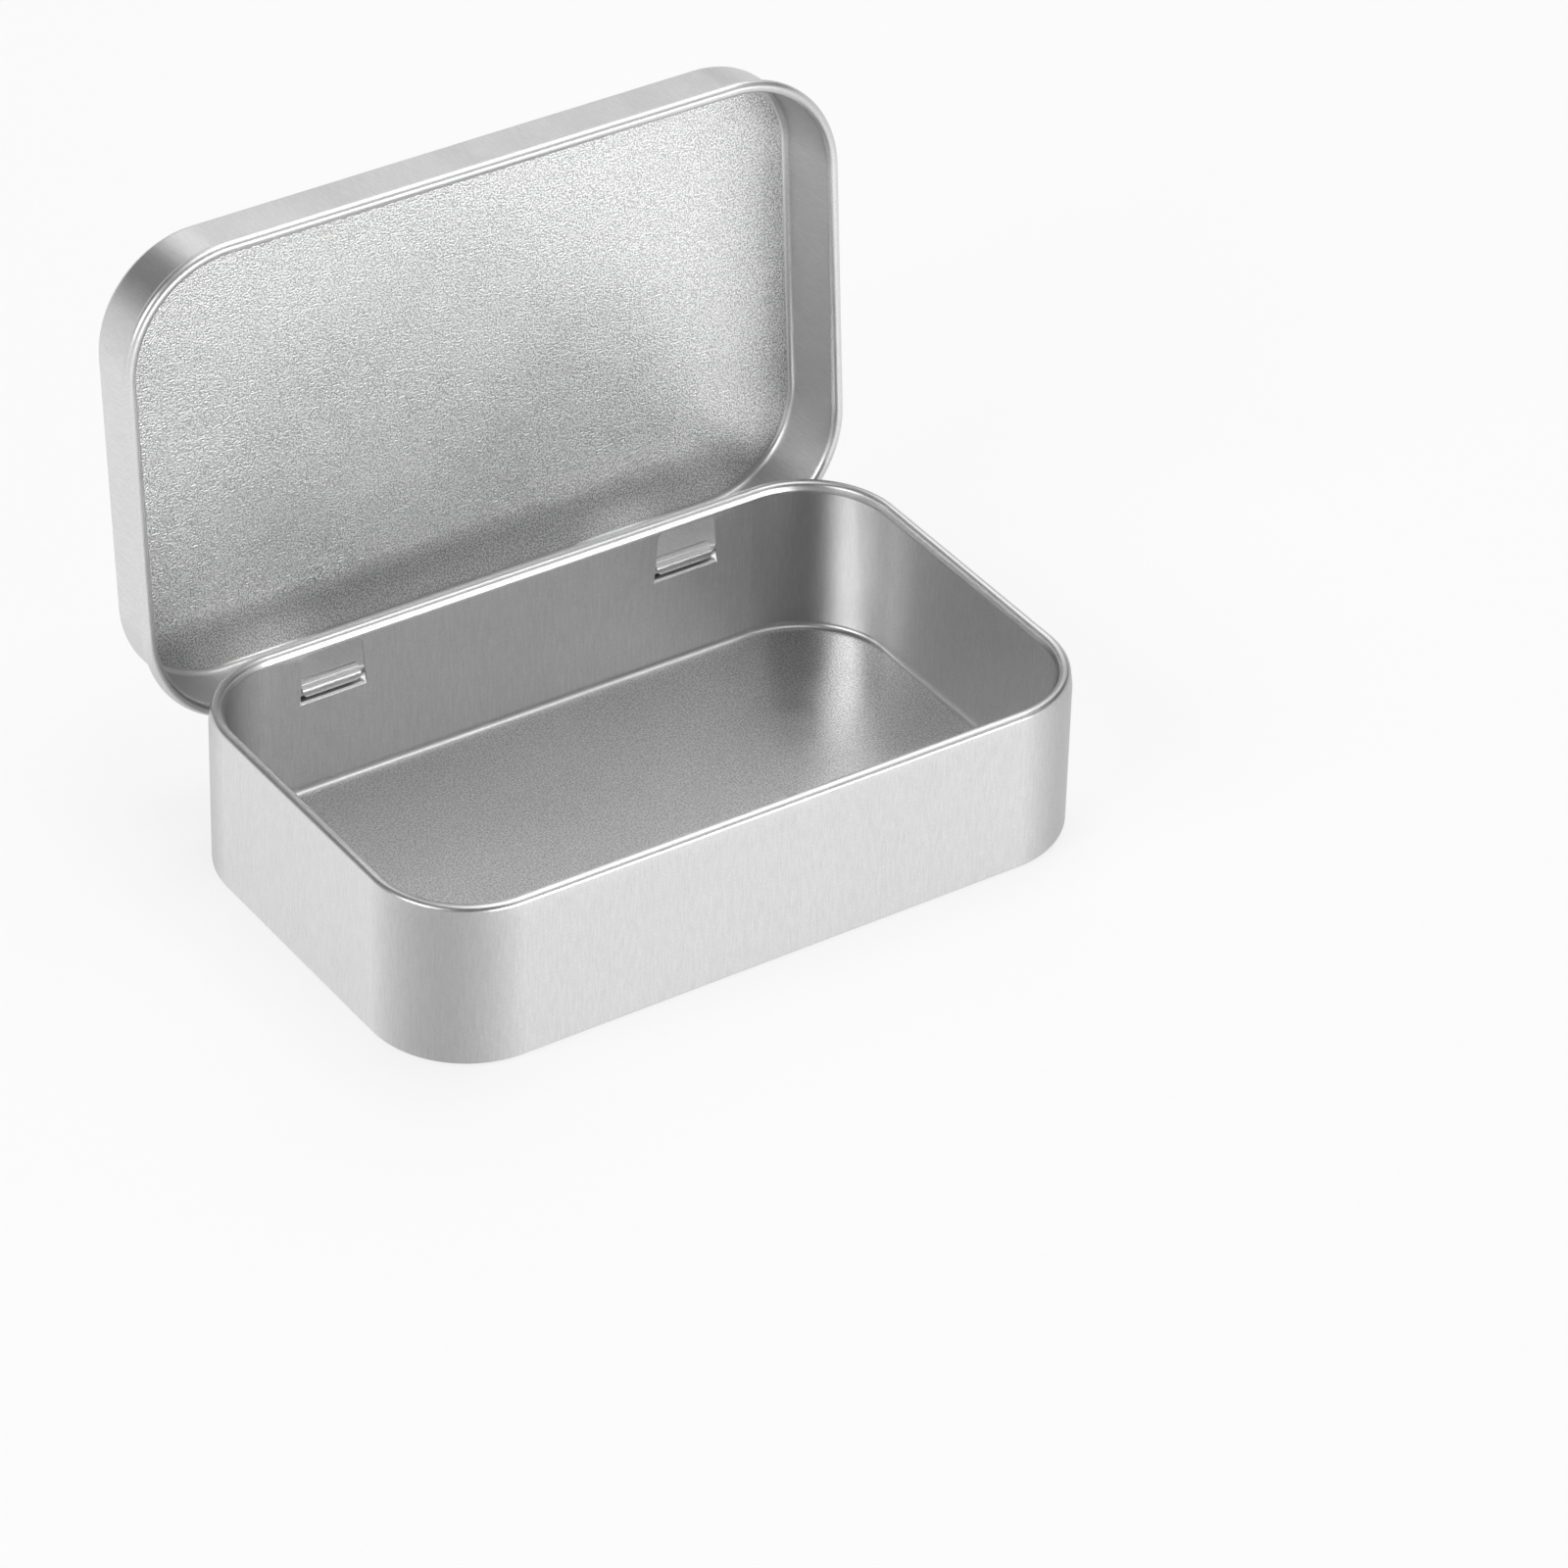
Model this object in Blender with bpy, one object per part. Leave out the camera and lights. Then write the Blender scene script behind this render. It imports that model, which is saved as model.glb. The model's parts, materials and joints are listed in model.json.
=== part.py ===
"""Pocket-size hinged tinplate box, modelled with its lid open.

The real box is two pressed pieces and nothing else. The base is a deep-drawn tray with its rim
rolled inwards. The lid is a shallow tray with its edge rolled outwards. Each of the two hinges is a
tongue lanced out of the base's rear wall, which leaves a window of the same outline behind it. The
tongue bends out under the lid's rolled edge, goes up behind it and over it, through a slot in the
lid's skirt, and comes down in front of it again, so the rolled edge itself is the hinge pin.

Axes: X runs along the length, +Y is the hinge side, +Z is up, and the origin is the middle of the
base's flat underside. Both pieces are sheets with the tinplate's thickness laid on one side.
"""

import math

import bmesh
import bpy

# Driving dimensions, in metres and radians.
BASE_LENGTH = 0.0915
BASE_WIDTH = 0.0567
BASE_HEIGHT = 0.02145
CORNER_RADIUS = 0.0124
SHEET = 0.00023
BASE_EDGE_RADIUS = 0.0010
LID_EDGE_RADIUS = 0.0010
LID_DEPTH = 0.00935
LID_OPENING = math.radians(94.7)

# The base's wall leans in a little below its rim, which lets the lid's front swing past it.
NECK_HEIGHT = 0.00225
NECK_SET = 0.00020

# Rolled edges: the outside radius of the roll, and how far round the sheet goes.
ROLL_RADIUS = 0.00075
ROLL_TURN = math.radians(290)

# Running gaps between the lid and the base when the box is shut.
SIDE_GAP = 0.00030
TOP_GAP = 0.00030

# Hinge tongues. Each stands this far along the rear wall from where its corner ends. Their widths,
# tip and lancing cut are those of the flat sheet before bending.
HINGE_FROM_CORNER = 0.00915
TONGUE_ROOT_WIDTH = 0.0087
TONGUE_TIP_WIDTH = 0.0076
TONGUE_TIP_RADIUS = 0.0008
TONGUE_BEND_RADIUS = 0.00020
TONGUE_TURN = math.radians(298)
TONGUE_GAP = 0.00012
LANCE_WIDTH = 0.00012

# The curl is slack behind the pin: it swells by this much, over this much of its turn.
TONGUE_SLACK = 0.00018
SLACK_TURN = math.radians(160)

# Slots in the lid's skirt, which let the tongues through. A slot's far edge lies this far inside
# the widest part of the curl's swell, which it meets when the lid is open, and that is the stop.
SLOT_LAND = 0.00010
SLOT_BITE = 0.00004
SLOT_SIDE_GAP = 0.00015

# Fineness of the facets, in steps along each curve.
CORNER_STEPS = 10
EDGE_STEPS = 4
ROLL_STEPS = 12
CURL_STEPS = 16
BEND_STEPS = 3
TIP_STEPS = 4

# Finish: matt tinplate.
TINPLATE_COLOUR = (0.66, 0.66, 0.67, 1.0)
TINPLATE_ROUGHNESS = 0.38

QUARTER = math.pi / 2

# The lid's rolled edge is the hinge pin, so its middle is the axis.
AXIS_Y = BASE_WIDTH / 2 + SIDE_GAP + ROLL_RADIUS
LID_PANEL_UNDERSIDE = BASE_HEIGHT + TOP_GAP
AXIS_Z = LID_PANEL_UNDERSIDE + SHEET - LID_DEPTH + ROLL_RADIUS

# The curl's outside radius round the pin, the tongue's fold line in the wall, and the lengths of
# its parts along the middle of the sheet. The swell follows a sine squared, so it lengthens the
# curl by half of its height over its turn.
CURL_RADIUS = ROLL_RADIUS + TONGUE_GAP + SHEET
TONGUE_ROOT_Z = AXIS_Z - CURL_RADIUS - TONGUE_BEND_RADIUS
BEND_LENGTH = (TONGUE_BEND_RADIUS + SHEET / 2) * QUARTER
RUN_LENGTH = AXIS_Y - BASE_WIDTH / 2 - TONGUE_BEND_RADIUS
CURL_LENGTH = (CURL_RADIUS - SHEET / 2) * TONGUE_TURN + TONGUE_SLACK / 2 * SLACK_TURN
TONGUE_LENGTH = BEND_LENGTH + RUN_LENGTH + CURL_LENGTH


def clear_scene():
    for obj in list(bpy.data.objects):
        bpy.data.objects.remove(obj, do_unlink=True)


def tinplate():
    material = bpy.data.materials.new("tinplate")
    material.use_nodes = True
    shader = material.node_tree.nodes["Principled BSDF"]
    shader.inputs["Base Color"].default_value = TINPLATE_COLOUR
    shader.inputs["Roughness"].default_value = TINPLATE_ROUGHNESS
    shader.inputs["Metallic"].default_value = 1.0
    return material


def arc(centre, radius, start, turn, steps):
    """Points of an arc in a profile's plane, turning anticlockwise for a positive turn."""
    points = []
    for step in range(steps + 1):
        angle = start + turn * step / steps
        points.append(
            (centre[0] + radius * math.cos(angle), centre[1] + radius * math.sin(angle))
        )
    return points


def outline(outset):
    """The box's rounded rectangle seen from above, this far outside the base's wall."""
    radius = CORNER_RADIUS + outset
    across = BASE_LENGTH / 2 - CORNER_RADIUS
    along = BASE_WIDTH / 2 - CORNER_RADIUS
    points = []
    for corner, (side_x, side_y) in enumerate(((1, 1), (-1, 1), (-1, -1), (1, -1))):
        centre = (side_x * across, side_y * along)
        points += arc(centre, radius, corner * QUARTER, QUARTER, CORNER_STEPS)
    return points


def draw_tray(bm, profile):
    """Draws a tray out of the sheet: a flat panel, then one level for each point of the profile,
    which holds how far out and how high each level is."""
    levels = []
    for outset, height in profile:
        corners = [bm.verts.new((x, y, height)) for x, y in outline(outset)]
        pairs = zip(corners, corners[1:] + corners[:1])
        levels.append([bm.edges.new(pair) for pair in pairs])
    bmesh.ops.contextual_create(bm, geom=levels[0])
    for lower, upper in zip(levels, levels[1:]):
        bmesh.ops.bridge_loops(bm, edges=lower + upper)


def rear_panel(bm):
    """The flat face of the rear wall, which is the largest upright face on the hinge side."""
    bm.normal_update()
    upright = [
        face
        for face in bm.faces
        if abs(face.normal.y) > 0.999 and face.calc_center_median().y > 0
    ]
    return max(upright, key=lambda face: face.calc_area())


def pierce(bm, panel, holes):
    """Cuts holes in one flat face. Each hole is a list of points round it, and each is returned
    as the vertices of its edge."""
    border = list(panel.edges)
    bmesh.ops.delete(bm, geom=[panel], context="FACES_ONLY")
    edges = list(border)
    rims = []
    for hole in holes:
        rim = [bm.verts.new(point) for point in hole]
        edges += [bm.edges.new(pair) for pair in zip(rim, rim[1:] + rim[:1])]
        rims.append(rim)
    bmesh.ops.triangle_fill(bm, use_beauty=True, use_dissolve=False, edges=edges)
    return rims


def tongue_half_width(distance):
    """Half the tongue's width, this far from its fold line in the flat sheet: a straight taper,
    with its two end corners rounded."""
    share = distance / TONGUE_LENGTH
    half = (TONGUE_ROOT_WIDTH * (1 - share) + TONGUE_TIP_WIDTH * share) / 2
    into_tip = distance - (TONGUE_LENGTH - TONGUE_TIP_RADIUS)
    if into_tip > 0:
        half -= TONGUE_TIP_RADIUS - math.sqrt(
            max(0.0, TONGUE_TIP_RADIUS**2 - into_tip**2)
        )
    return half


def curl_radius(turn):
    """The curl's outside radius round the pin, this far round from below it."""
    if turn >= SLACK_TURN:
        return CURL_RADIUS
    return CURL_RADIUS + TONGUE_SLACK * math.sin(math.pi * turn / SLACK_TURN) ** 2


def tongue_point(distance):
    """(y, z) on the outside of the bent tongue, this far from its fold line along the sheet."""
    if distance <= BEND_LENGTH:
        angle = QUARTER * distance / BEND_LENGTH
        return (
            BASE_WIDTH / 2 + TONGUE_BEND_RADIUS * (1 - math.cos(angle)),
            TONGUE_ROOT_Z + TONGUE_BEND_RADIUS * math.sin(angle),
        )
    if distance <= BEND_LENGTH + RUN_LENGTH:
        run = distance - BEND_LENGTH
        return (
            BASE_WIDTH / 2 + TONGUE_BEND_RADIUS + run,
            TONGUE_ROOT_Z + TONGUE_BEND_RADIUS,
        )
    turn = (distance - BEND_LENGTH - RUN_LENGTH) / CURL_LENGTH * TONGUE_TURN
    radius = curl_radius(turn)
    return (AXIS_Y + radius * math.sin(turn), AXIS_Z - radius * math.cos(turn))


def tip_distances():
    """Distances along the tongue at which its rounded end corners have a point."""
    start = TONGUE_LENGTH - TONGUE_TIP_RADIUS
    return [
        start + TONGUE_TIP_RADIUS * math.sin(QUARTER * step / TIP_STEPS)
        for step in range(TIP_STEPS + 1)
    ]


def tongue_distances():
    """Distances along the tongue at which the bent sheet has an edge across it."""
    bend = [BEND_LENGTH * step / BEND_STEPS for step in range(1, BEND_STEPS + 1)]
    curl_start = BEND_LENGTH + RUN_LENGTH
    curl_end = TONGUE_LENGTH - TONGUE_TIP_RADIUS
    curl = [
        curl_start + (curl_end - curl_start) * step / CURL_STEPS
        for step in range(CURL_STEPS)
    ]
    return bend + curl + tip_distances()


def window_outline(middle):
    """The window that a tongue leaves in the rear wall: the tongue's flat outline, with the width
    of the lancing cut round it. Its first edge is the tongue's fold line."""
    root = tongue_half_width(0)
    side = [(root + LANCE_WIDTH, 0.0)]
    for distance in tip_distances():
        side.append((tongue_half_width(distance) + LANCE_WIDTH, distance + LANCE_WIDTH))
    right = [(middle + half, rise) for half, rise in side]
    left = [(middle - half, rise) for half, rise in reversed(side)]
    flat = [(middle - root, 0.0), (middle + root, 0.0)] + right + left
    return [(x, BASE_WIDTH / 2, TONGUE_ROOT_Z + rise) for x, rise in flat]


def bend_tongue(bm, fold, middle):
    """Extrudes the tongue from its fold line, one station after another."""
    edge = fold
    for distance in tongue_distances():
        made = bmesh.ops.extrude_edge_only(bm, edges=[edge])["geom"]
        edge = next(item for item in made if isinstance(item, bmesh.types.BMEdge))
        half = tongue_half_width(distance)
        y, z = tongue_point(distance)
        for vertex in edge.verts:
            side = math.copysign(1, vertex.co.x - middle)
            vertex.co = (middle + side * half, y, z)


def slot_outline(middle):
    """A slot in the shut lid's skirt. It reaches from the rolled edge to the radius at which it
    meets the curl's swell, and it clears the widest part of the tongue that goes through it."""
    skirt = ROLL_RADIUS - SHEET
    top = math.sqrt((CURL_RADIUS + TONGUE_SLACK - SLOT_BITE) ** 2 - skirt**2)
    turn = QUARTER + math.atan2(skirt, top)
    reach = BEND_LENGTH + RUN_LENGTH + CURL_LENGTH * turn / TONGUE_TURN
    half = tongue_half_width(reach) + SLOT_SIDE_GAP
    corners = ((-half, SLOT_LAND), (half, SLOT_LAND), (half, top), (-half, top))
    return [(middle + x, BASE_WIDTH / 2 + SIDE_GAP, AXIS_Z + z) for x, z in corners]


def hinge_middles():
    middle = BASE_LENGTH / 2 - CORNER_RADIUS - HINGE_FROM_CORNER
    return (-middle, middle)


def finish_sheet(name, bm, material):
    """Turns the drawn surface so that the tinplate's thickness lies above its flat panel, and
    gives it that thickness."""
    bmesh.ops.recalc_face_normals(bm, faces=bm.faces)
    panel = max(bm.faces, key=lambda face: face.calc_area())
    if panel.normal.z > 0:
        bmesh.ops.reverse_faces(bm, faces=bm.faces)
    mesh = bpy.data.meshes.new(name)
    bm.to_mesh(mesh)
    bm.free()
    mesh.shade_smooth()
    mesh.set_sharp_from_angle(angle=math.radians(40))
    mesh.materials.append(material)
    obj = bpy.data.objects.new(name, mesh)
    bpy.context.scene.collection.objects.link(obj)
    thickness = obj.modifiers.new("tinplate thickness", "SOLIDIFY")
    thickness.thickness = SHEET
    thickness.offset = -1
    thickness.use_even_offset = True
    thickness.use_quality_normals = True
    return obj


def make_base(material):
    """The deep tray, with its rim rolled inwards and its two hinge tongues."""
    edge_centre = (-BASE_EDGE_RADIUS, BASE_EDGE_RADIUS)
    rim_centre = (-NECK_SET - ROLL_RADIUS, BASE_HEIGHT - ROLL_RADIUS)
    profile = arc(edge_centre, BASE_EDGE_RADIUS, -QUARTER, QUARTER, EDGE_STEPS)
    profile.append((0.0, BASE_HEIGHT - NECK_HEIGHT))
    profile += arc(rim_centre, ROLL_RADIUS, 0, ROLL_TURN, ROLL_STEPS)
    bm = bmesh.new()
    draw_tray(bm, profile)
    middles = hinge_middles()
    rims = pierce(bm, rear_panel(bm), [window_outline(middle) for middle in middles])
    for rim, middle in zip(rims, middles):
        fold = bm.edges.get((rim[0], rim[1]))
        bend_tongue(bm, fold, middle)
    return finish_sheet("base_tray", bm, material)


def make_lid(material):
    """The shallow tray that turns on its own rolled edge. It is drawn shut, then its mesh is put
    with the hinge axis at its origin and the object is turned open about that axis."""
    fold = LID_EDGE_RADIUS - SHEET
    fold_centre = (SIDE_GAP - fold, LID_PANEL_UNDERSIDE - fold)
    roll_centre = (SIDE_GAP + ROLL_RADIUS, AXIS_Z)
    profile = arc(fold_centre, fold, QUARTER, -QUARTER, EDGE_STEPS)
    profile += arc(roll_centre, ROLL_RADIUS, math.pi, ROLL_TURN, ROLL_STEPS)
    bm = bmesh.new()
    draw_tray(bm, profile)
    pierce(bm, rear_panel(bm), [slot_outline(middle) for middle in hinge_middles()])
    bmesh.ops.translate(bm, vec=(0, -AXIS_Y, -AXIS_Z), verts=bm.verts)
    lid = finish_sheet("lid", bm, material)
    lid.location = (0, AXIS_Y, AXIS_Z)
    lid.rotation_euler = (-LID_OPENING, 0, 0)
    return lid


def main():
    clear_scene()
    material = tinplate()
    make_base(material)
    make_lid(material)


main()
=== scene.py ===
"""Looks of a pocket-size hinged tinplate box that stands open on a pale floor.

Its two pressed pieces are drawn here finer than their solids: the tray with its rim rolled inwards
and its two lanced hinge tongues, and the lid with its edge rolled outwards and its two slots. Each
is one surface drawn level by level from a rounded panel, which then gets the sheet's thickness.
Axes are the frame's: X along the length, +Y the hinge side, +Z up.
"""

import math

import bmesh
import bpy
from mathutils import Matrix, Vector
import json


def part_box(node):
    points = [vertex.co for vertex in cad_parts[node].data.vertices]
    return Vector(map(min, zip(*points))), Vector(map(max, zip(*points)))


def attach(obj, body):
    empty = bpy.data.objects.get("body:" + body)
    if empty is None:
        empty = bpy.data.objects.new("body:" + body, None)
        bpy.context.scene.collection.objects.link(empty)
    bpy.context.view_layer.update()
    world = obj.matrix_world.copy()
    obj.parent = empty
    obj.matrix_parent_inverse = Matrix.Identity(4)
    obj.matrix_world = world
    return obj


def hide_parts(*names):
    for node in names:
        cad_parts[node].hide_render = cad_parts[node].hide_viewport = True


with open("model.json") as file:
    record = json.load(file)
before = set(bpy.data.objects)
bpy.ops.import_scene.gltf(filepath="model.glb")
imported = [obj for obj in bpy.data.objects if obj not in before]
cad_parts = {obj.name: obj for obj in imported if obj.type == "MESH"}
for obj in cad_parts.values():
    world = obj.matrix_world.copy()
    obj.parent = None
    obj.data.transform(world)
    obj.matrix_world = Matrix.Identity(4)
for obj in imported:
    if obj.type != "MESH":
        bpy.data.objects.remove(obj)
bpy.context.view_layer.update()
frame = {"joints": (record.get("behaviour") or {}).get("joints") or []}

MM = 0.001
QUARTER = math.pi / 2

# Sizes from the frame: the tray's half length and half width, the hinge axis, and how far the lid
# is turned open.
tray_low, tray_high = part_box("base_tray")
lid_hinge = frame["joints"][0]
HALF_LENGTH = tray_high.x
HALF_WIDTH = -tray_low.y
AXIS = Vector(lid_hinge["pos_m"])
LID_OPENING = math.radians(lid_hinge["range_deg"][1])

# The sheet, and the bends and rolls of both pieces. The corner radius is at the tray's outside.
SHEET = 0.23 * MM
CORNER_RADIUS = 12.4 * MM
ROLL_RADIUS = 0.75 * MM
ROLL_TURN = math.radians(290)

# The tray. From its neck up to its rim, the wall leans in by this set.
TRAY_HEIGHT = 21.45 * MM
TRAY_EDGE_RADIUS = 1.0 * MM
NECK_HEIGHT = 2.25 * MM
NECK_SET = 0.20 * MM

# The tray's rim has a flat on its inner side after this much of its turn, and then a tighter tuck.
RIM_FLAT_TURN = math.radians(157)
RIM_FLAT = 0.45 * MM
RIM_TUCK_RADIUS = 0.30 * MM

# The lid, and how far it stands off the tray when it is shut.
LID_EDGE_RADIUS = 1.0 * MM
TOP_GAP = 0.30 * MM
SIDE_GAP = AXIS.y - HALF_WIDTH - ROLL_RADIUS
LID_INSIDE = TRAY_HEIGHT + TOP_GAP

# The hinge tongues, and the cut that lances them out of the rear wall.
HINGE_FROM_CORNER = 9.15 * MM
TONGUE_ROOT_WIDTH = 8.7 * MM
TONGUE_TIP_WIDTH = 7.6 * MM
TONGUE_TIP_RADIUS = 0.8 * MM
TONGUE_BEND_RADIUS = 0.20 * MM
LANCE_WIDTH = 0.12 * MM

# Their curl: its gap round the lid's rolled edge, how far it turns, and its swell with the turn
# that this takes up.
CURL_GAP = 0.12 * MM
CURL_TURN = math.radians(298)
CURL_SWELL = 0.18 * MM
SWELL_TURN = math.radians(160)

# The slots in the lid's skirt: how far above the roll they start, how far inside the swell's reach
# their far edge is, and their gap at each side of the tongue.
SLOT_LAND = 0.10 * MM
SLOT_BITE = 0.04 * MM
SLOT_SIDE_GAP = 0.15 * MM

# Worked out from these: the curl's outside radius, the height of the fold line, and the lengths
# along the tongue of its bend, of its run below the roll and of its curl.
CURL_RADIUS = ROLL_RADIUS + CURL_GAP + SHEET
TONGUE_ROOT_Z = AXIS.z - CURL_RADIUS - TONGUE_BEND_RADIUS
BEND_LENGTH = (TONGUE_BEND_RADIUS + SHEET / 2) * QUARTER
RUN_LENGTH = AXIS.y - HALF_WIDTH - TONGUE_BEND_RADIUS
CURL_LENGTH = (CURL_RADIUS - SHEET / 2) * CURL_TURN + CURL_SWELL / 2 * SWELL_TURN
TONGUE_LENGTH = BEND_LENGTH + RUN_LENGTH + CURL_LENGTH

# A line of points runs round each panel this far inside its edge, and keeps the panel's shading
# flat up to there.
PANEL_MARGIN = 0.4 * MM

# Edges sharper than this are the sheet's cut edges, and get this much of a burr-free round.
CUT_ANGLE = math.radians(60)
CUT_ROUND = 0.03 * MM

# Shading is smooth up to this angle between two faces.
CREASE_ANGLE = math.radians(50)

# Fineness of the curves, in steps.
CORNER_STEPS = 32
EDGE_STEPS = 10
ROLL_STEPS = 28
CURL_STEPS = 40
BEND_STEPS = 6
TIP_STEPS = 8
CUT_STEPS = 2

# The finish: the size of the grain, the length of the lines that it is drawn into on the walls,
# the width of the streaks that the die leaves, and the length and depth of the sheet's waves. The
# ground grain is really about 0.05 mm. It is drawn 0.2 mm coarse, which is as fine as shows.
GRAIN = 0.2 * MM
LINE_LENGTH = 2.0 * MM
STREAK_WIDTH = 4.0 * MM
WAVE_LENGTH = 20.0 * MM
WAVE_DEPTH = 0.30 * MM

# On the walls this share of the grain is drawn into lines, and these are the lines' depth and
# glitter.
STRETCH = 0.5
LINE_DEPTH = 0.006 * MM
LINE_GLITTER = 0.45

# The streaks make the metal this much rougher or smoother, as their noise goes through its middle
# range.
STREAK_ROUGHNESS = 0.03
NOISE_LOW = 0.3
NOISE_MIDDLE = 0.5
NOISE_HIGH = 0.7

# The studio: half the side of the floor in metres, how much of the floor glows, and the ceiling's
# strength beside the white sweep, which fades into it between these heights of a direction.
FLOOR_HALF_SIDE = 1.5
FLOOR_GLOW = 0.75
CEILING = 0.2
SWEEP_TOP = 0.10
CEILING_START = 0.35

# The camera that fits the open box in the photograph: it looks from the front left. The angles
# are in degrees, the focal length is in widths of the picture, and what it sees lies between the
# two clip distances, in metres.
CAMERA_AZIMUTH = -34.555
CAMERA_ELEVATION = 35.219
CAMERA_ROLL = 1.617
CAMERA_TARGET = Vector((19.90, 0.172, 0.0)) * MM
CAMERA_DISTANCE = 857.87 * MM
FOCAL_LENGTH = 7520.9 / 1600
SENSOR_WIDTH = 36.0
CLIP_START = 0.01
CLIP_END = 20.0


def arc(centre, radius, start, turn, steps):
    """Points of an arc in a profile's plane, without its first point."""
    points = []
    for step in range(1, steps + 1):
        angle = start + turn * step / steps
        points.append(
            (centre[0] + radius * math.cos(angle), centre[1] + radius * math.sin(angle))
        )
    return points


def place(vertex, outset, height):
    """Puts a vertex this far outside the tray's wall, straight out from where it is now, and
    gives back the way out."""
    across = HALF_LENGTH - CORNER_RADIUS
    along = HALF_WIDTH - CORNER_RADIUS
    core = Vector(
        (
            min(max(vertex.co.x, -across), across),
            min(max(vertex.co.y, -along), along),
            0.0,
        )
    )
    out = (Vector((vertex.co.x, vertex.co.y, 0.0)) - core).normalized()
    vertex.co = core + out * (CORNER_RADIUS + outset) + Vector((0.0, 0.0, height))
    return out


def press_panel(bm, outset, height):
    """The flat rounded panel that a piece starts from."""
    bmesh.ops.create_grid(bm, x_segments=1, y_segments=1, size=1.0)
    half = (HALF_LENGTH + outset, HALF_WIDTH + outset, 1.0)
    bmesh.ops.scale(bm, vec=half, verts=bm.verts)
    bmesh.ops.bevel(
        bm,
        geom=bm.verts[:],
        offset=CORNER_RADIUS + outset,
        offset_type="OFFSET",
        segments=CORNER_STEPS,
        profile=0.5,
        affect="VERTICES",
        material=-1,
    )
    for vertex in bm.verts:
        place(vertex, outset, height)
    bmesh.ops.inset_region(bm, faces=bm.faces[:], thickness=PANEL_MARGIN, use_even_offset=True)


def draw_wall(bm, profile):
    """Draws the wall out of the panel's edge, one level for each point of the profile, which holds
    how far out and how high each level is. It also marks how much painted shade darkens the
    rounded corners, the more the deeper the draw."""
    heights = [height for outset, height in profile]
    painted_shade_depth = (max(heights) - min(heights)) / TRAY_HEIGHT
    stretch = bm.verts.layers.float.new("stretch")
    # Painted shade: how much the colour darkens at each rounded corner, most where the wall turns
    # through 45 degrees.
    painted_corner_shade = bm.verts.layers.float.new("painted_corner_shade")
    edges = [edge for edge in bm.edges if edge.is_boundary]
    for outset, height in profile:
        made = bmesh.ops.extrude_edge_only(bm, edges=edges)["geom"]
        edges = [item for item in made if isinstance(item, bmesh.types.BMEdge)]
        for vertex in {vertex for edge in edges for vertex in edge.verts}:
            out = place(vertex, outset, height)
            vertex[stretch] = STRETCH
            vertex[painted_corner_shade] = painted_shade_depth * abs(2 * out.x * out.y)


def rear_panel(bm):
    """The flat face of the rear wall, which is the largest upright face on the hinge side."""
    square_on = 0.999
    bm.normal_update()
    upright = [
        face
        for face in bm.faces
        if abs(face.normal.y) > square_on and face.calc_center_median().y > 0
    ]
    return max(upright, key=lambda face: face.calc_area())


def pierce(bm, panel, holes):
    """Cuts holes in one flat face, and gives back the vertices round each."""
    stretch = bm.verts.layers.float["stretch"]
    edges = list(panel.edges)
    bmesh.ops.delete(bm, geom=[panel], context="FACES_ONLY")
    rims = []
    for hole in holes:
        rim = [bm.verts.new(point) for point in hole]
        for vertex in rim:
            vertex[stretch] = STRETCH
        edges += [bm.edges.new(pair) for pair in zip(rim, rim[1:] + rim[:1])]
        rims.append(rim)
    bmesh.ops.triangle_fill(bm, use_beauty=True, use_dissolve=False, edges=edges)
    return rims


def tongue_half_width(distance):
    """Half the tongue's width, this far from its fold line in the flat sheet: a straight taper,
    with its two end corners rounded."""
    share = distance / TONGUE_LENGTH
    half = (TONGUE_ROOT_WIDTH * (1 - share) + TONGUE_TIP_WIDTH * share) / 2
    into_tip = distance - (TONGUE_LENGTH - TONGUE_TIP_RADIUS)
    if into_tip > 0:
        half -= TONGUE_TIP_RADIUS - math.sqrt(
            max(0.0, TONGUE_TIP_RADIUS**2 - into_tip**2)
        )
    return half


def curl_radius(turn):
    """The curl's outside radius round the pin, this far round from below it."""
    if turn >= SWELL_TURN:
        return CURL_RADIUS
    return CURL_RADIUS + CURL_SWELL * math.sin(math.pi * turn / SWELL_TURN) ** 2


def tongue_point(distance):
    """(y, z) on the outside of the bent tongue, this far from its fold line along the sheet."""
    if distance <= BEND_LENGTH:
        angle = QUARTER * distance / BEND_LENGTH
        return (
            HALF_WIDTH + TONGUE_BEND_RADIUS * (1 - math.cos(angle)),
            TONGUE_ROOT_Z + TONGUE_BEND_RADIUS * math.sin(angle),
        )
    if distance <= BEND_LENGTH + RUN_LENGTH:
        run = distance - BEND_LENGTH
        return (
            HALF_WIDTH + TONGUE_BEND_RADIUS + run,
            TONGUE_ROOT_Z + TONGUE_BEND_RADIUS,
        )
    turn = (distance - BEND_LENGTH - RUN_LENGTH) / CURL_LENGTH * CURL_TURN
    radius = curl_radius(turn)
    return (AXIS.y + radius * math.sin(turn), AXIS.z - radius * math.cos(turn))


def tip_distances():
    """Distances along the tongue at which its rounded end corners have a point."""
    start = TONGUE_LENGTH - TONGUE_TIP_RADIUS
    return [
        start + TONGUE_TIP_RADIUS * math.sin(QUARTER * step / TIP_STEPS)
        for step in range(TIP_STEPS + 1)
    ]


def tongue_distances():
    """Distances along the tongue at which the bent sheet has an edge across it."""
    bend = [BEND_LENGTH * step / BEND_STEPS for step in range(1, BEND_STEPS + 1)]
    curl_start = BEND_LENGTH + RUN_LENGTH
    curl_end = TONGUE_LENGTH - TONGUE_TIP_RADIUS
    curl = [
        curl_start + (curl_end - curl_start) * step / CURL_STEPS
        for step in range(CURL_STEPS)
    ]
    return bend + curl + tip_distances()


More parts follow.
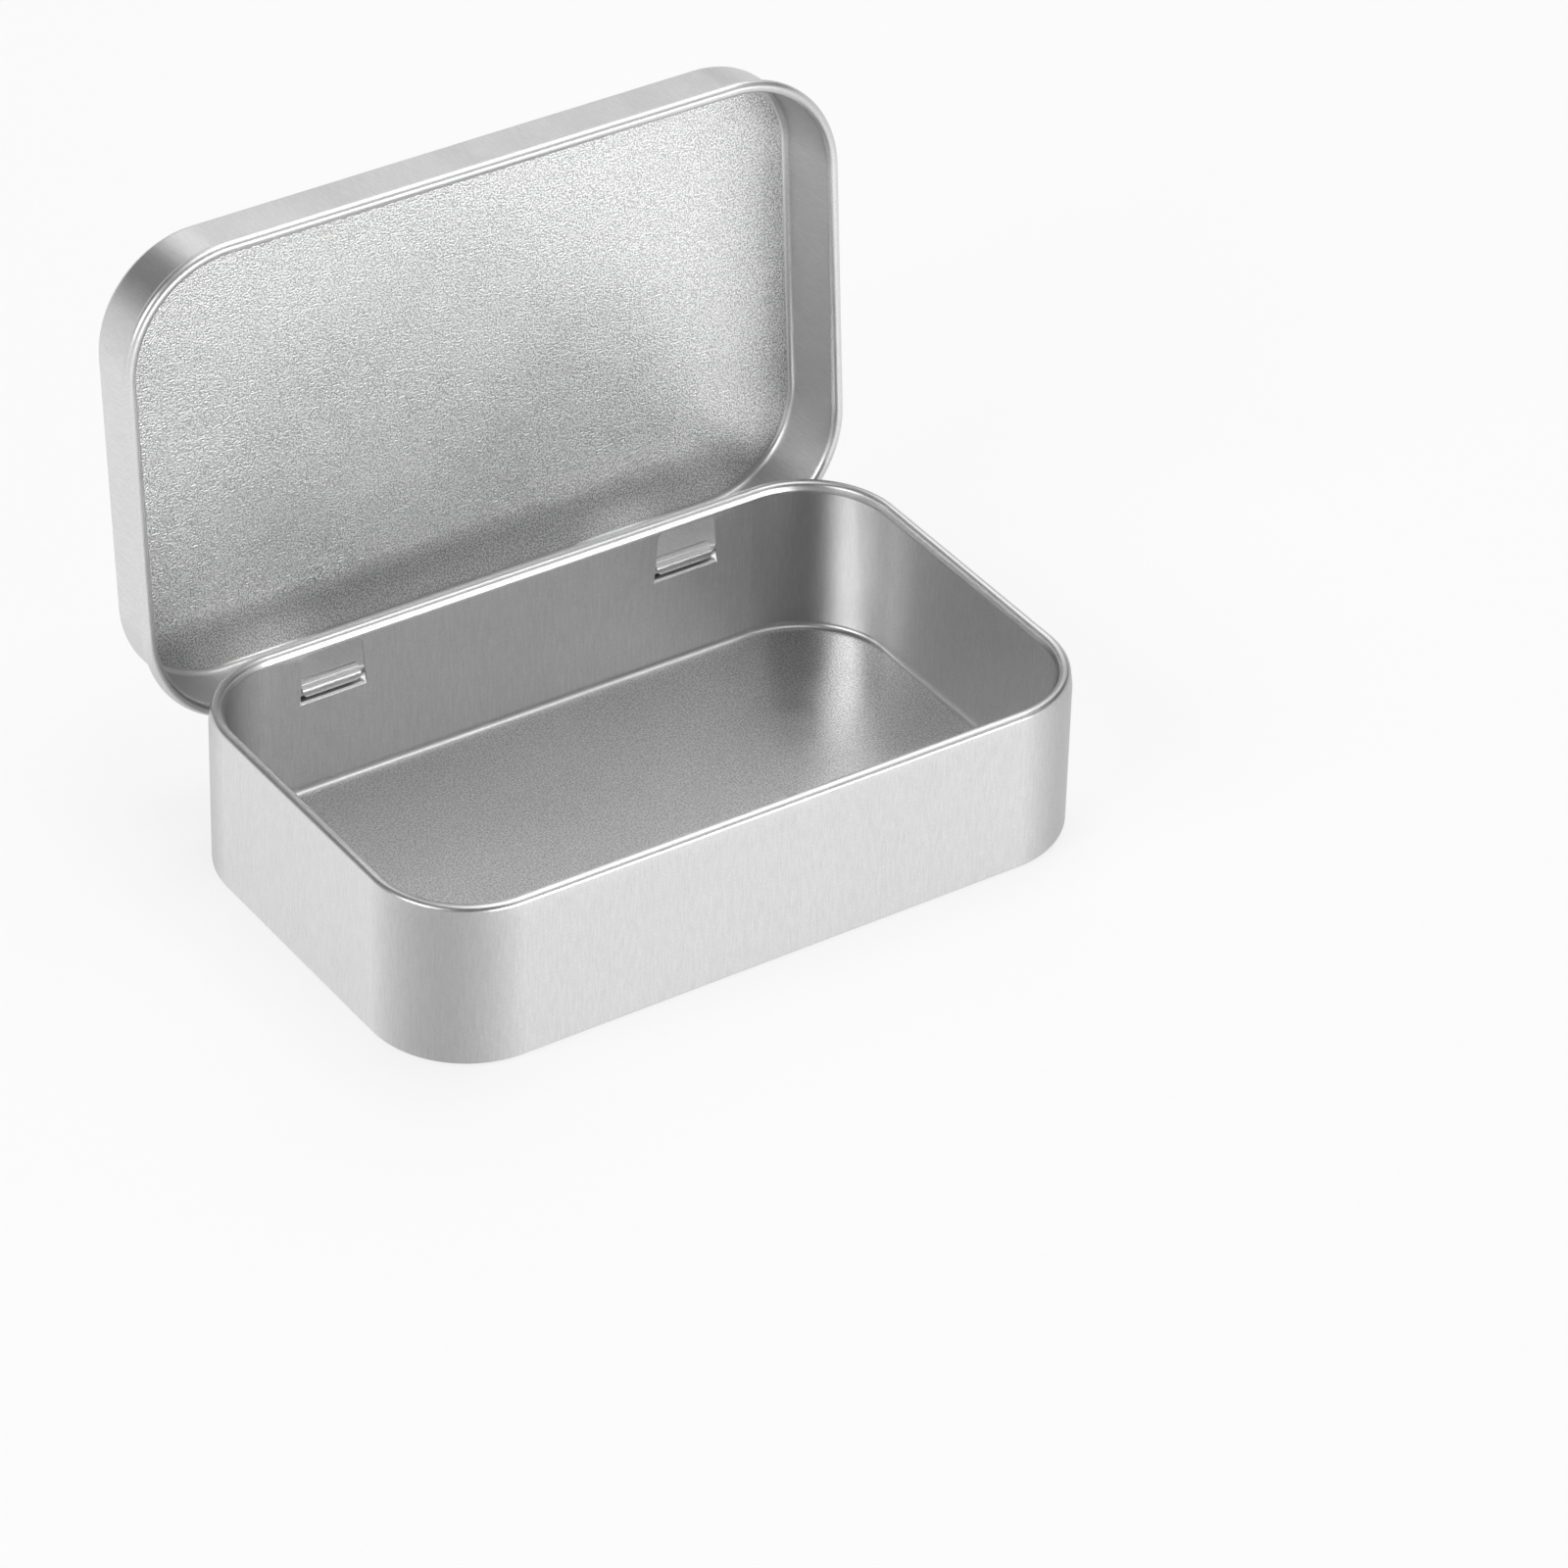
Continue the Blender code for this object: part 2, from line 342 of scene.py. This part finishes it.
def window_outline(middle):
    """The window that a tongue leaves in the rear wall: the tongue's flat outline, with the width
    of the lancing cut round it. Its first edge is the tongue's fold line."""
    root = tongue_half_width(0)
    side = [(root + LANCE_WIDTH, 0.0)]
    for distance in tip_distances():
        side.append((tongue_half_width(distance) + LANCE_WIDTH, distance + LANCE_WIDTH))
    right = [(middle + half, rise) for half, rise in side]
    left = [(middle - half, rise) for half, rise in reversed(side)]
    flat = [(middle - root, 0.0), (middle + root, 0.0)] + right + left
    return [(x, HALF_WIDTH, TONGUE_ROOT_Z + rise) for x, rise in flat]


def bend_tongue(bm, fold, middle):
    """Extrudes the tongue from its fold line, one station after another."""
    edge = fold
    for distance in tongue_distances():
        made = bmesh.ops.extrude_edge_only(bm, edges=[edge])["geom"]
        edge = next(item for item in made if isinstance(item, bmesh.types.BMEdge))
        half = tongue_half_width(distance)
        y, z = tongue_point(distance)
        for vertex in edge.verts:
            side = math.copysign(1, vertex.co.x - middle)
            vertex.co = (middle + side * half, y, z)


def slot_outline(middle):
    """A slot in the shut lid's skirt. It reaches from the rolled edge to the radius at which it
    meets the curl's swell, and it clears the widest part of the tongue that goes through it."""
    skirt = ROLL_RADIUS - SHEET
    top = math.sqrt((CURL_RADIUS + CURL_SWELL - SLOT_BITE) ** 2 - skirt**2)
    turn = QUARTER + math.atan2(skirt, top)
    reach = BEND_LENGTH + RUN_LENGTH + CURL_LENGTH * turn / CURL_TURN
    half = tongue_half_width(reach) + SLOT_SIDE_GAP
    corners = ((-half, SLOT_LAND), (half, SLOT_LAND), (half, top), (-half, top))
    return [(middle + x, HALF_WIDTH + SIDE_GAP, AXIS.z + z) for x, z in corners]


def hinge_middles():
    """Where the middles of the two hinge tongues are along the rear wall."""
    middle = HALF_LENGTH - CORNER_RADIUS - HINGE_FROM_CORNER
    return (-middle, middle)


def give_thickness(name, bm):
    """Turns the drawn surface so that the sheet's thickness lies above its flat panel, gives it
    that thickness, and rounds the cut edges."""
    bmesh.ops.recalc_face_normals(bm, faces=bm.faces)
    panel = max(bm.faces, key=lambda face: face.calc_area())
    if panel.normal.z > 0:
        bmesh.ops.reverse_faces(bm, faces=bm.faces)
    drawn = bpy.data.meshes.new(name + "_drawn")
    bm.to_mesh(drawn)
    bm.free()
    piece = bpy.data.objects.new(name, drawn)
    bpy.context.scene.collection.objects.link(piece)
    sheet = piece.modifiers.new("sheet", "SOLIDIFY")
    sheet.thickness = SHEET
    sheet.offset = -1
    sheet.use_even_offset = True
    sheet.use_quality_normals = True
    deburred = piece.modifiers.new("cut edges", "BEVEL")
    deburred.width = CUT_ROUND
    deburred.segments = CUT_STEPS
    deburred.limit_method = "ANGLE"
    deburred.angle_limit = CUT_ANGLE
    depsgraph = bpy.context.evaluated_depsgraph_get()
    mesh = bpy.data.meshes.new_from_object(piece.evaluated_get(depsgraph))
    piece.modifiers.clear()
    piece.data = mesh
    mesh.name = name
    bpy.data.meshes.remove(drawn)
    mesh.shade_smooth()
    mesh.set_sharp_from_angle(angle=CREASE_ANGLE)
    weighted = piece.modifiers.new("flat panels", "WEIGHTED_NORMAL")
    weighted.keep_sharp = True
    return piece


def press_tray():
    """The deep tray, with its rim rolled inwards and its two hinge tongues."""
    edge_centre = (-TRAY_EDGE_RADIUS, TRAY_EDGE_RADIUS)
    rim_centre = Vector((-NECK_SET - ROLL_RADIUS, TRAY_HEIGHT - ROLL_RADIUS))
    inwards = Vector((math.cos(RIM_FLAT_TURN), math.sin(RIM_FLAT_TURN)))
    down = Vector((-inwards.y, inwards.x))
    tuck_centre = rim_centre + inwards * (ROLL_RADIUS - RIM_TUCK_RADIUS) + down * RIM_FLAT
    tuck_turn = ROLL_TURN - RIM_FLAT_TURN
    profile = arc(edge_centre, TRAY_EDGE_RADIUS, -QUARTER, QUARTER, EDGE_STEPS)
    profile.append((0.0, TRAY_HEIGHT - NECK_HEIGHT))
    profile.append((rim_centre.x + ROLL_RADIUS, rim_centre.y))
    profile += arc(rim_centre, ROLL_RADIUS, 0, RIM_FLAT_TURN, ROLL_STEPS)
    profile.append(tuple(tuck_centre + inwards * RIM_TUCK_RADIUS))
    profile += arc(tuck_centre, RIM_TUCK_RADIUS, RIM_FLAT_TURN, tuck_turn, EDGE_STEPS)
    bm = bmesh.new()
    press_panel(bm, -TRAY_EDGE_RADIUS, 0.0)
    draw_wall(bm, profile)
    middles = hinge_middles()
    rims = pierce(bm, rear_panel(bm), [window_outline(middle) for middle in middles])
    for rim, middle in zip(rims, middles):
        fold = bm.edges.get((rim[0], rim[1]))
        bend_tongue(bm, fold, middle)
    return give_thickness("tinplate_tray", bm)


def press_lid():
    """The shallow tray that turns on its own rolled edge, drawn shut and then turned open."""
    fold = LID_EDGE_RADIUS - SHEET
    fold_centre = (SIDE_GAP - fold, LID_INSIDE - fold)
    roll_centre = (SIDE_GAP + ROLL_RADIUS, AXIS.z)
    profile = arc(fold_centre, fold, QUARTER, -QUARTER, EDGE_STEPS)
    profile.append((roll_centre[0] - ROLL_RADIUS, AXIS.z))
    profile += arc(roll_centre, ROLL_RADIUS, math.pi, ROLL_TURN, ROLL_STEPS)
    bm = bmesh.new()
    press_panel(bm, SIDE_GAP - fold, LID_INSIDE)
    draw_wall(bm, profile)
    pierce(bm, rear_panel(bm), [slot_outline(middle) for middle in hinge_middles()])
    lid = give_thickness("tinplate_lid", bm)
    turn = Matrix.Rotation(-LID_OPENING, 4, "X")
    lid.data.transform(Matrix.Translation(AXIS) @ turn @ Matrix.Translation(-AXIS))
    return lid


def linear(hex_colour):
    """A colour written as sRGB hex, in the linear values that a shader takes."""
    channels = [int(hex_colour[start : start + 2], 16) / 255 for start in (1, 3, 5)]
    return tuple(
        value / 12.92 if value <= 0.04045 else ((value + 0.055) / 1.055) ** 2.4
        for value in channels
    ) + (1.0,)


def add_node(tree, kind, settings=None, inputs=None):
    """Adds a node with its settings and links. Each input is named or, where sockets share a
    name, numbered, and is given a value or the output that feeds it."""
    node = tree.nodes.new(kind)
    for name, value in (settings or {}).items():
        setattr(node, name, value)
    for name, value in (inputs or {}).items():
        if isinstance(value, bpy.types.NodeSocket):
            tree.links.new(value, node.inputs[name])
        else:
            node.inputs[name].default_value = value
    return node


def matt_tinplate(name, turned, roughness, grain_depth, grain_glitter):
    """Matt tinplate: steel sheet rolled with a stone-ground finish and tinned, which gives it a
    sandy grain of this depth and glitter. Pressing draws the grain out into upright lines on the
    walls. The colour is darkened at the deep rounded corners as painted shade, standing in for
    their darker reflections. The pattern is turned by this angle about X."""
    material = bpy.data.materials.new(name)
    material.use_nodes = True
    tree = material.node_tree
    shader = tree.nodes["Principled BSDF"]
    shader.inputs["Metallic"].default_value = 1.0

    position = add_node(tree, "ShaderNodeTexCoord").outputs["Object"]
    sheet = add_node(
        tree, "ShaderNodeMapping", None, {"Vector": position, "Rotation": (turned, 0.0, 0.0)}
    ).outputs[0]
    upright = add_node(
        tree,
        "ShaderNodeMapping",
        None,
        {"Vector": sheet, "Scale": (1.0, 1.0, GRAIN / LINE_LENGTH)},
    ).outputs[0]
    walls = add_node(tree, "ShaderNodeAttribute", {"attribute_name": "stretch"}).outputs["Fac"]
    # How much painted shade darkens the colour at the rounded corners.
    corners = add_node(tree, "ShaderNodeAttribute", {"attribute_name": "painted_corner_shade"}).outputs["Fac"]

    # The sandy grain of the flat panels.
    grain = add_node(
        tree, "ShaderNodeTexNoise", None, {"Vector": sheet, "Scale": 1 / GRAIN, "Detail": 0.0}
    ).outputs[0]
    # The drawn lines of the walls, as coarse as the grain across.
    lines = add_node(
        tree, "ShaderNodeTexNoise", None, {"Vector": upright, "Scale": 1 / GRAIN, "Detail": 0.0}
    ).outputs[0]
    # Broad soft streaks, where the die rubbed more or less.
    streaks = add_node(
        tree,
        "ShaderNodeTexNoise",
        None,
        {"Vector": upright, "Scale": 1 / STREAK_WIDTH, "Detail": 2.0, "Roughness": 0.5},
    ).outputs[0]
    # The sheet is never quite flat, and its soft waves bend what it mirrors.
    waves = add_node(
        tree,
        "ShaderNodeTexNoise",
        None,
        {"Vector": sheet, "Scale": 1 / WAVE_LENGTH, "Detail": 0.0},
    ).outputs[0]

    texture = add_node(
        tree, "ShaderNodeMix", {"data_type": "FLOAT"}, {0: walls, 2: grain, 3: lines}
    ).outputs[0]
    depth = add_node(
        tree,
        "ShaderNodeMapRange",
        None,
        {"Value": walls, "From Max": STRETCH, "To Min": grain_depth, "To Max": LINE_DEPTH},
    ).outputs[0]
    waved = add_node(
        tree, "ShaderNodeBump", None, {"Height": waves, "Strength": 1.0, "Distance": WAVE_DEPTH}
    ).outputs[0]
    bumped = add_node(
        tree,
        "ShaderNodeBump",
        None,
        {"Height": texture, "Strength": 1.0, "Distance": depth, "Normal": waved},
    ).outputs[0]
    tree.links.new(bumped, shader.inputs["Normal"])

    matt = add_node(
        tree,
        "ShaderNodeMapRange",
        None,
        {
            "Value": streaks,
            "From Min": NOISE_LOW,
            "From Max": NOISE_HIGH,
            "To Min": roughness - STREAK_ROUGHNESS,
            "To Max": roughness + STREAK_ROUGHNESS,
        },
    ).outputs[0]
    tree.links.new(matt, shader.inputs["Roughness"])

    # Each speck of the grain is darker or lighter tin, the more so the more it glitters.
    glitter = add_node(
        tree,
        "ShaderNodeMapRange",
        None,
        {"Value": walls, "From Max": STRETCH, "To Min": grain_glitter, "To Max": LINE_GLITTER},
    ).outputs[0]
    speck = add_node(
        tree, "ShaderNodeMath", {"operation": "SUBTRACT"}, {0: texture, 1: NOISE_MIDDLE}
    ).outputs[0]
    speck = add_node(
        tree,
        "ShaderNodeMath",
        {"operation": "MULTIPLY_ADD"},
        {0: speck, 1: glitter, 2: NOISE_MIDDLE},
    ).outputs[0]
    colour = add_node(
        tree,
        "ShaderNodeMix",
        {"data_type": "RGBA"},
        {0: speck, 6: linear("#BABABA"), 7: linear("#FCFCFC")},
    ).outputs[2]
    # Painted shade: at the rounded corners the colour is darkened towards #C6C6C6, for the darker
    # reflections there.
    colour = add_node(
        tree,
        "ShaderNodeMix",
        {"data_type": "RGBA", "blend_type": "MULTIPLY"},
        {0: corners, 6: colour, 7: linear("#C6C6C6")},
    ).outputs[2]
    tree.links.new(colour, shader.inputs["Base Color"])
    return material


def make_floor():
    """A sheet of matt white acrylic, lit from below for a white background. The glow is for
    what is seen of it, by eye or in the metal, and the rest of it takes the box's shadow."""
    bm = bmesh.new()
    bmesh.ops.create_grid(bm, x_segments=1, y_segments=1, size=FLOOR_HALF_SIDE)
    mesh = bpy.data.meshes.new("floor")
    bm.to_mesh(mesh)
    bm.free()
    floor = bpy.data.objects.new("floor", mesh)
    bpy.context.scene.collection.objects.link(floor)
    material = bpy.data.materials.new("white acrylic")
    material.use_nodes = True
    tree = material.node_tree
    tree.nodes.clear()
    path = add_node(tree, "ShaderNodeLightPath")
    seen = path.outputs["Is Camera Ray"]
    for ray in ("Is Glossy Ray", "Is Transmission Ray"):
        either = {0: seen, 1: path.outputs[ray]}
        seen = add_node(tree, "ShaderNodeMath", {"operation": "MAXIMUM"}, either).outputs[0]
    share = add_node(tree, "ShaderNodeMath", {"operation": "MULTIPLY"}, {0: seen, 1: FLOOR_GLOW})
    white = add_node(tree, "ShaderNodeBsdfDiffuse", None, {"Color": linear("#F8F8F8")})
    glow = add_node(tree, "ShaderNodeEmission", None, {"Strength": 1.0})
    sheet = add_node(
        tree,
        "ShaderNodeMixShader",
        None,
        {0: share.outputs[0], 1: white.outputs[0], 2: glow.outputs[0]},
    )
    add_node(tree, "ShaderNodeOutputMaterial", None, {"Surface": sheet.outputs[0]})
    mesh.materials.append(material)


def make_world():
    """A white sweep all round the table, and a dimmer ceiling above it."""
    world = bpy.data.worlds.new("studio")
    world.use_nodes = True
    tree = world.node_tree
    ray = add_node(tree, "ShaderNodeTexCoord").outputs["Generated"]
    height = add_node(tree, "ShaderNodeSeparateXYZ", None, {0: ray}).outputs["Z"]
    fade = add_node(
        tree,
        "ShaderNodeMapRange",
        {"interpolation_type": "SMOOTHSTEP"},
        {
            "Value": height,
            "From Min": SWEEP_TOP,
            "From Max": CEILING_START,
            "To Min": 1.0,
            "To Max": CEILING,
        },
    )
    tree.links.new(fade.outputs[0], tree.nodes["Background"].inputs["Strength"])
    tree.nodes["Background"].inputs["Color"].default_value = (1.0, 1.0, 1.0, 1.0)
    bpy.context.scene.world = world


def direction(azimuth, elevation):
    """The way from the box to what stands at these angles, in degrees. Azimuth 0 is the front,
    and 90 the right."""
    azimuth, elevation = math.radians(azimuth), math.radians(elevation)
    return Vector(
        (
            math.sin(azimuth) * math.cos(elevation),
            -math.cos(azimuth) * math.cos(elevation),
            math.sin(elevation),
        )
    )


def make_softbox(name, azimuth, elevation, width, height, radiance):
    """A softbox a metre off, turned to the box."""
    back = direction(azimuth, elevation)
    data = bpy.data.lights.new(name, "AREA")
    data.shape = "RECTANGLE"
    data.size = width
    data.size_y = height
    data.energy = math.pi * width * height * radiance
    softbox = bpy.data.objects.new(name, data)
    turn = back.to_track_quat("Z", "Y").to_matrix().to_4x4()
    softbox.matrix_world = Matrix.Translation(back) @ turn
    softbox.visible_camera = False
    bpy.context.scene.collection.objects.link(softbox)


def make_camera():
    """The camera, at its distance from what it looks at and turned by its roll."""
    back = direction(CAMERA_AZIMUTH, CAMERA_ELEVATION)
    azimuth, roll = math.radians(CAMERA_AZIMUTH), math.radians(CAMERA_ROLL)
    level = Vector((math.cos(azimuth), math.sin(azimuth), 0.0))
    upright = back.cross(level)
    right = level * math.cos(roll) + upright * math.sin(roll)
    up = -level * math.sin(roll) + upright * math.cos(roll)
    data = bpy.data.cameras.new("camera")
    data.sensor_width = SENSOR_WIDTH
    data.lens = FOCAL_LENGTH * SENSOR_WIDTH
    data.clip_start = CLIP_START
    data.clip_end = CLIP_END
    camera = bpy.data.objects.new("camera", data)
    turn = Matrix((right, up, back)).transposed().to_4x4()
    camera.matrix_world = Matrix.Translation(CAMERA_TARGET + back * CAMERA_DISTANCE) @ turn
    bpy.context.scene.collection.objects.link(camera)
    bpy.context.scene.camera = camera


tray_finish = matt_tinplate(
    "matt tinplate", turned=0.0, roughness=0.32, grain_depth=0.02 * MM, grain_glitter=1.8
)
tray = press_tray()
tray.data.materials.append(tray_finish)
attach(tray, "base")
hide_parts("base_tray")

# The lid's sheet is a little rougher than the tray's, and its grain deeper.
lid_finish = matt_tinplate(
    "matt tinplate of the lid",
    turned=LID_OPENING,
    roughness=0.36,
    grain_depth=0.06 * MM,
    grain_glitter=3.4,
)
lid = press_lid()
lid.data.materials.append(lid_finish)
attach(lid, "lid")
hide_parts("lid")

make_floor()
make_world()
make_softbox("front softbox", azimuth=10, elevation=9, width=0.75, height=0.32, radiance=4.2)
make_softbox("fill softbox", azimuth=40, elevation=44, width=0.7, height=0.5, radiance=0.45)
make_softbox("left softbox", azimuth=-80, elevation=34, width=0.6, height=0.45, radiance=4.0)
make_softbox("rear softbox", azimuth=143, elevation=46, width=1.1, height=0.6, radiance=1.15)
make_softbox("top softbox", azimuth=90, elevation=80, width=0.7, height=0.7, radiance=2.3)
make_camera()
bpy.context.scene.view_settings.view_transform = "Standard"
